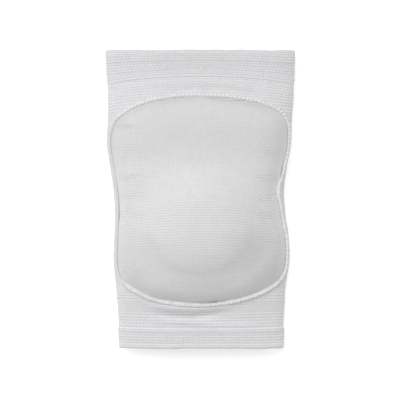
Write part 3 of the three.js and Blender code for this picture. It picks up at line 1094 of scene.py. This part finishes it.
# Painted shade, where the light alone leaves the cover too bright: over its thigh end, from the
# first share of its length to the second, round the foot of the dome, and in one corner. The last
# two are also sunk a little into the cover.
THIGH_SHADE_SPAN = (0.6, 0.8)
THIGH_END_SHADE = 0.27
CREASE_AT = 0.71
CREASE_SPREAD = 0.07
CREASE_FADES = (0.7, 1.1)
COVER_CREASE_SHADE = 0.14
CORNER_CREASE = (-54, 160, 6, 2.2)

# The same for the lower corners. No form or stretch of the real cover is known to cause it.
DARK_CORNERS = table(
    "x y half_x half_y shade",
    (47, 64, 16, 20, 0.40),
    (-52, 64, 14, 16, 0.32),
)


def crease(x, y):
    """1 along the foot of the dome, on its calf side."""
    low, high = CREASE_FADES
    dome = np.hypot(x / (DOME_WIDTH / 2), (y - PAD_START - DOME_CENTRE) / (DOME_LENGTH / 2))
    below = 1 - smooth_step(y, PAD_START + DOME_CENTRE * low, PAD_START + DOME_CENTRE * high)
    return below * np.exp(-(((dome - CREASE_AT) / CREASE_SPREAD) ** 2))


def grid_normals(points):
    along = np.gradient(points, axis=0)
    across = np.gradient(points, axis=1)
    return unit(np.cross(along, across))


hem_aside, hem_up = oval(HEM_ANGLE, -HEM_TUCK)
hem_ends = seam_points + seam_away * hem_aside + seam_normal * hem_up
hem_rim = rim_of(-hem_aside - SEAM_WIDTH / 2 - CLEARANCE)
hem_floor = pad_floor(hem_rim[:, 0], hem_rim[:, 1])
hem_moves = hem_ends - np.column_stack([hem_rim, hem_floor])


def hem_rise(rim, depth, x, y):
    """The height of the cover, and nothing for the hem outside its solid."""
    return pad_rise(rim_of(0), 0, x, y) * inside_of(rim_of(0), x, y)


def meet_seam(line):
    """Moves what is near the seam so that the hem ends on the side of the seam's welt."""
    far, place = nearest_on(hem_rim, line[:, 0], line[:, 1])
    moves = np.concatenate([hem_moves, hem_moves[:1]])
    counted = np.arange(len(moves))
    move = np.stack([np.interp(place, counted, moves[:, k]) for k in range(3)], 1)
    return line + move * np.exp(-((far / HEM_WIDTH) ** 2))[:, None]


def ribbed(lines, columns):
    """How strongly the ribs stand up: less by the seam, and less towards the thigh."""
    end = np.minimum(lines, 1 - lines)[:, None] * CALM_AT_ENDS
    side = np.minimum(columns, 1 - columns)[None, :] * CALM_AT_SIDES
    calm = lerp(CALMEST, 1, smooth_step(np.minimum(end, side), 0.1, 1.0))
    return calm * lerp(1, COVER_RIB_THIGH, smooth_step(lines, *THIGH_RIBS))[:, None]


def cover_shade(points, valley, creased, corner):
    """Painted shade of the cover: in valleys, patches and creases, at the thigh end and lower corners."""
    x, y = points[..., 0], points[..., 1]
    shade = COVER_SHADE * (1 - valley) - THIGH_END_SHADE * smooth_step(along_pad(y), *THIGH_SHADE_SPAN)
    shade = shade - COVER_CREASE_SHADE * creased - CREASE_SHADE * corner
    for at_x, at_y, half_x, half_y, strength in zip(*DARK_CORNERS.values()):
        shade = shade - strength * dent(x, y, at_x, at_y, half_x, half_y)
    for at_x, at_y, width, rows, strength in zip(*COVER_PATCHES.values()):
        off_x = (x / MM - at_x) / (width / 2)
        off_y = (y - LENGTH / 2 - at_y * MM) / (rows * PATCH_ROW / 2)
        shade = shade - PATCH_SHADE * strength * np.exp(-(off_x**4) - off_y**4)
    return shade


def add_patches(knitting, points, normals, places):
    """Sets each tuck stitch of the patches on the nearest point of the cover."""
    step = COVER_SAMPLES // 2
    grid = points[::step]
    for x, y, width, rows, strength in zip(*COVER_PATCHES.values()):
        count = round(width * MM / PATCH_PITCH)
        for row in range(int(rows)):
            bead_y = LENGTH / 2 + y * MM + (row - (rows - 1) / 2) * PATCH_ROW
            for bead_x in x * MM + (np.arange(count) - count / 2 + (row % 2) / 2) * PATCH_PITCH:
                gap = (grid[..., 0] - bead_x) ** 2 + (grid[..., 1] - bead_y) ** 2
                line, column = np.unravel_index(gap.argmin(), gap.shape)
                at = (line * step, column)
                size = COVER_BEAD * strength
                add_beads(knitting, points[at][None], normals[at][None], size, places[at][None])


def knit_cover():
    count = round(COVER_MIDDLE / COVER_PITCH)
    lines, courses = course_rows(np.linspace(0, 1, count + 1), COVER_SAMPLES)
    columns = np.linspace(0, 1, COVER_COLUMNS)
    points = pad_layer(hem_rim, 0, lines, columns, hem_rise)
    moved = curve_through(net_lines, net_moved, lines)
    moved = curve_through(net_columns, moved.transpose(1, 0, 2), columns).transpose(1, 0, 2)
    points = np.array([meet_seam(line) for line in points]) + moved
    normals = grid_normals(points)
    valley = (1 - rib(courses))[:, None] * ribbed(lines, columns)
    creased = crease(points[..., 0], points[..., 1])
    corner = dent(points[..., 0], points[..., 1], *CORNER_CREASE)
    sunk = COVER_RIB * valley + CREASE_DEPTH * (creased + corner)
    points = points - normals * sunk[..., None]
    wales = round(CALF_WIDTH * COVER_STRETCH / WALE)
    places = grid_of(columns * wales, courses)
    knitting = Knitting()
    outside = knitting.cast(points, places, cover_shade(points, valley, creased, corner))
    knitting.weave(outside)
    inner_lines, inner_columns = np.linspace(0, 1, LINING_LINES), np.linspace(0, 1, LINING_COLUMNS)
    lining = pad_layer(rim_of(COVER_WALL), COVER_WALL, inner_lines, inner_columns)
    lining_places = grid_of(inner_columns * wales, inner_lines * count)
    inside = knitting.cast(lining, lining_places, INSIDE_SHADE)
    knitting.weave(inside, flip=True)
    knitting.lace(border(outside), border(inside))
    add_patches(knitting, points, normals, places)
    return knitting.cast_off("pad_cover_knit")


pad_cover_knit = knit_cover()

# %% [markdown]
# ## The seam
#
# The cover's raw edge is overlocked to the sleeve: a soft welt, wrapped in thick thread that goes
# over it at a slant. A stripe in the finish would look flat, so every stitch is a bent piece of
# thread of its own, and all of them are joined with the welt into one mesh.

# %% Sew the seam
WELT_SIDES = 12
WELT_POINTS = 520
WELT_RAISED = 0.34
STITCH_PITCH = 1.45 * MM
STITCH_SLANT = -1.5 * MM
STITCH_STEPS = 9
THREAD_RADIUS = 0.36 * MM
THREAD_END = 0.04 * MM
THREAD_TAPER = 6
THREAD_SIDES = 7
TWISTS = 6
TIP_RAISED = 0.6

# The angles on the welt from which and to which a stitch goes, and how thick its thread is: uneven
# at the calf, and in turns bold and fine at the thigh.
TOWARDS_THIGH = (0.3, 0.8)
WRAP_CALF = (160, 8)
WRAP_THIGH = (132, 30)
STITCH_UNEVENNESS = (0.4, 1.5)
BOLD_THIGH = 1.6
FINE_THIGH = 0.4

# On the left flank, where the sleeve is tilted by a share from the first of these to the second,
# the thread is pulled thin and painted darker.
FLANK_TILT = (0.3, 0.7)
FLANK_THREAD = 0.5
FLANK_RAISED = 0.55


def sew_seam():
    knitting = Knitting()
    points, along, normal, away, length = seam_line(WELT_POINTS)
    angles = np.arange(WELT_SIDES) / WELT_SIDES * 2 * math.pi
    aside, up = oval(angles)
    rings = points[:, None] + away[:, None] * aside[:, None] + normal[:, None] * up[:, None]
    places = grid_of(np.arange(WELT_SIDES), np.arange(WELT_POINTS) / 2)
    welt = knitting.cast(rings, places, WELT_RAISED)
    knitting.weave(np.concatenate([welt, welt[:1]]), wales=WELT_SIDES, flip=True)
    count = 2 * round(length / STITCH_PITCH / 2)
    starts, along, normal, away, _ = seam_line(count)
    share = np.linspace(0, 1, STITCH_STEPS)
    to_thigh = smooth_step(along_pad(starts[:, 1]), *TOWARDS_THIGH)[:, None]
    first, last = (lerp(calf, thigh, to_thigh) for calf, thigh in zip(WRAP_CALF, WRAP_THIGH))
    sweep = np.radians(lerp(first, last, share))
    aside, up = oval(sweep)
    shift = STITCH_SLANT * (share - 0.5)
    path = (
        starts[:, None]
        + away[:, None] * aside[..., None]
        + normal[:, None] * up[..., None]
        + along[:, None] * shift[:, None]
    )
    way = unit(np.gradient(path, axis=1))
    out = away[:, None] * np.cos(sweep)[..., None] + normal[:, None] * np.sin(sweep)[..., None]
    side = unit(np.cross(way, out))
    out = np.cross(side, way)
    turn = np.arange(THREAD_SIDES) / THREAD_SIDES * 2 * math.pi
    on_flank = smooth_step(-normal[:, :1], *FLANK_TILT)[..., None]
    taper = np.sqrt(1 - (2 * share - 1) ** THREAD_TAPER)[:, None]
    bold = np.where(np.arange(count) % 2, FINE_THIGH, BOLD_THIGH)[:, None, None]
    pulled = uneven.uniform(*STITCH_UNEVENNESS, count)[:, None, None]
    thick = THREAD_RADIUS * lerp(1, FLANK_THREAD, on_flank) * lerp(pulled, bold, to_thigh[:, None])
    thick = thick * taper + THREAD_END
    beside = side[:, :, None] * (np.cos(turn) * thick)[..., None]
    above = out[:, :, None] * (np.sin(turn) * thick)[..., None]
    threads = path[:, :, None] + beside + above
    places = grid_of(turn, share * TWISTS)
    grid = knitting.cast(threads, places, lerp(1, FLANK_RAISED, on_flank))
    knitting.weave(grid, wales=2 * math.pi)
    for end, order in ((0, 1), (-1, -1)):
        knitting.crown(grid[:, end][:, ::order], path[:, end], (0, 0), TIP_RAISED)
    print(count, "stitches in the seam")
    return knitting.cast_off("cover_seam_stitches")


cover_seam_stitches = sew_seam()

# %% [markdown]
# ## Finishes
#
# White knit is never one grey. Light sinks into the valleys between the courses and comes back
# brighter from what stands up, every loop is a small V, and the yarn is fuzzy. Paint by hand would
# not follow all this, so each finish is worked out from the two facts in the mesh: the valleys are
# painted in shade, darker than what stands up. How far a place stands up also carries the few
# painted shades on the sleeve and the cover. Sums on sockets are written as plain Python: a small
# class turns each operator into a Math node.


# %% Sockets in sums, and one way to add any node
class Wire:
    """A socket that can stand in a sum."""

    def __init__(self, finish, socket):
        self.finish, self.socket = finish, socket

    def math(self, operation, *values):
        return self.finish.node("ShaderNodeMath", {"operation": operation}, dict(enumerate(values)))

    def __add__(self, other):
        return self.math("ADD", self, other)

    def __sub__(self, other):
        return self.math("SUBTRACT", self, other)

    def __rsub__(self, other):
        return self.math("SUBTRACT", other, self)

    def __mul__(self, other):
        return self.math("MULTIPLY", self, other)

    def __pow__(self, other):
        return self.math("POWER", self, other)

    __radd__, __rmul__ = __add__, __mul__


class Finish:
    """A material with one shader. node() adds any node, with its settings first."""

    def __init__(self, name, **constants):
        self.material = bpy.data.materials.new(name)
        self.material.use_nodes = True
        self.tree = self.material.node_tree
        self.shader = self.tree.nodes["Principled BSDF"]
        for socket, value in constants.items():
            self.shader.inputs[socket.replace("_", " ")].default_value = value

    def node(self, kind, settings=None, sockets=None, output=0):
        made = self.tree.nodes.new(kind)
        for setting, value in (settings or {}).items():
            setattr(made, setting, value)
        for socket, value in (sockets or {}).items():
            if isinstance(value, Wire):
                self.tree.links.new(value.socket, made.inputs[socket])
            else:
                made.inputs[socket].default_value = value
        return Wire(self, made.outputs[output])

    def feed(self, socket, wire):
        self.tree.links.new(wire.socket, self.shader.inputs[socket])

    def where(self):
        return self.node("ShaderNodeTexCoord", output="Object")

    def noise(self, scale, detail):
        sockets = {"Vector": self.where(), "Scale": scale, "Detail": detail}
        return self.node("ShaderNodeTexNoise", None, sockets)

    def facts(self):
        """What the mesh tells: the place in the knit, as u and v, and how far it stands up, with painted
        shade.
        """
        place = self.node("ShaderNodeUVMap", {"uv_map": "knit"})
        u, v = (self.node("ShaderNodeSeparateXYZ", None, {0: place}, output=axis) for axis in (0, 1))
        return u, v, self.node("ShaderNodeAttribute", {"attribute_name": "raised_and_shade"}, output="Fac")

    def mix(self, share, low, high):
        """A colour between two colours."""
        settings = {"data_type": "RGBA"}
        sockets = {0: share, 6: low, 7: high}
        return self.node("ShaderNodeMix", settings, sockets, output=2)


# %% Knit finish
def rgb(red, green, blue):
    return (red, green, blue, 1.0)


LOOP_SLANT = 0.7
STITCH_LIGHT = 0.5

# Three kinds of unevenness in the yarn: its fuzz, its grain and its wide mottle.
YARN = table(
    "scale detail light",
    (2600, 3, 0.30),
    (1250, 2, 1.10),
    (160, 3, 0.25),
)


def knit_finish(name, valley, ridge, stitch_depth, fuzz_depth):
    """Knit from its valley colour, a painted shade, to its ridge colour, with a V for every loop."""
    finish = Finish(name, Roughness=0.9, Sheen_Weight=0.15, Sheen_Roughness=0.6, Specular_IOR_Level=0.15)
    u, v, raised_and_shade = finish.facts()
    off_wale = (u.math("FRACT", u) - 0.5) * 2
    across = off_wale.math("ABSOLUTE", off_wale)
    leg = (v + across * LOOP_SLANT) * (2 * math.pi)
    loops = leg.math("SINE", leg) * 0.5 + 0.5
    wale = 1 - across**3
    stitch = loops * 0.5 + wale * 0.5
    light = raised_and_shade + (stitch - 0.5) * STITCH_LIGHT
    unevenness = [finish.noise(scale, detail) for scale, detail in zip(YARN["scale"], YARN["detail"])]
    for noise, strength in zip(unevenness, YARN["light"]):
        light = light + (noise - 0.5) * strength
    fuzz = unevenness[0]
    finish.feed("Base Color", finish.mix(light.math("MINIMUM", light, 1.0), valley, ridge))
    finish.feed("Roughness", 0.86 + fuzz * 0.12)
    relief = stitch * stitch_depth + fuzz * fuzz_depth
    bump = finish.node("ShaderNodeBump", None, {"Height": relief, "Distance": MM, "Strength": 1.0})
    finish.feed("Normal", bump)
    return finish.material


sleeve_finish = knit_finish("sleeve_knit_finish", rgb(0.59, 0.59, 0.61), rgb(0.87, 0.87, 0.88), 0.16, 0.05)
cuff_finish = knit_finish("cuff_knit_finish", rgb(0.59, 0.59, 0.61), rgb(0.89, 0.89, 0.90), 0.16, 0.05)
cover_finish = knit_finish("cover_knit_finish", rgb(0.62, 0.62, 0.63), rgb(0.84, 0.84, 0.85), 0.12, 0.04)
print("knit finishes:", sleeve_finish.name, cuff_finish.name, cover_finish.name)


# %% Thread, foam and floor finishes
def thread_finish():
    """Bright plied thread: fine twists along every stitch."""
    finish = Finish("seam_thread_finish", Roughness=0.7, Sheen_Weight=0.1, Specular_IOR_Level=0.3)
    u, v, raised_and_shade = finish.facts()
    twist = u + v * (2 * math.pi)
    ply = twist.math("SINE", twist) * 0.5 + 0.5
    fuzz = finish.noise(3000, 2)
    light = raised_and_shade + (ply - 0.5) * 0.2 + (fuzz - 0.5) * 0.2
    finish.feed("Base Color", finish.mix(light, rgb(0.60, 0.60, 0.62), rgb(0.93, 0.93, 0.93)))
    finish.feed("Roughness", 0.65 + fuzz * 0.2)
    relief = ply * 0.1 + fuzz * 0.03
    finish.feed("Normal", finish.node("ShaderNodeBump", None, {"Height": relief, "Distance": MM}))
    return finish.material


def foam_finish():
    """Off-white foam with closed cells of uneven size."""
    finish = Finish("pad_foam_finish", Roughness=0.95, Specular_IOR_Level=0.2)
    cells = finish.node("ShaderNodeTexVoronoi", None, {"Vector": finish.where(), "Scale": 900.0}, "Distance")
    stain = finish.noise(60, 4)
    finish.feed("Base Color", finish.mix(stain, rgb(0.60, 0.58, 0.52), rgb(0.74, 0.73, 0.69)))
    finish.feed("Roughness", 0.88 + stain * 0.1)
    finish.feed("Normal", finish.node("ShaderNodeBump", None, {"Height": cells, "Distance": 0.3 * MM}))
    return finish.material


FLOOR_GLOW = 0.42
floor_finish = Finish(
    "floor_finish",
    Base_Color=rgb(0.86, 0.86, 0.86),
    Roughness=1.0,
    Specular_IOR_Level=0.0,
    Emission_Color=rgb(1, 1, 1),
    Emission_Strength=FLOOR_GLOW,
)
finishes = {
    sleeve_knit: sleeve_finish,
    thigh_cuff_knit: cuff_finish,
    calf_cuff_knit: cuff_finish,
    pad_cover_knit: cover_finish,
    foam_block: foam_finish(),
    cover_seam_stitches: thread_finish(),
    floor: floor_finish.material,
}
for piece, material in finishes.items():
    piece.data.materials.append(material)
print(len(finishes), "pieces have their finish")

# %% [markdown]
# ## What each piece stands for
#
# Every piece rides on the one body of the part and takes the place of its solid, which is hidden.

STANDS_FOR = {
    sleeve_knit: ("sleeve", "sleeve_knit"),
    thigh_cuff_knit: ("thigh_cuff", "cuff_knit"),
    calf_cuff_knit: ("calf_cuff", "cuff_knit"),
    foam_block: ("foam_pad", "pad_foam"),
    pad_cover_knit: ("pad_cover", "cover_knit"),
    cover_seam_stitches: ("cover_seam", "seam_thread"),
}
for piece, (node, slot) in STANDS_FOR.items():
    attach(piece, "root")
    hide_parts(node)
girth(LENGTH / 2)
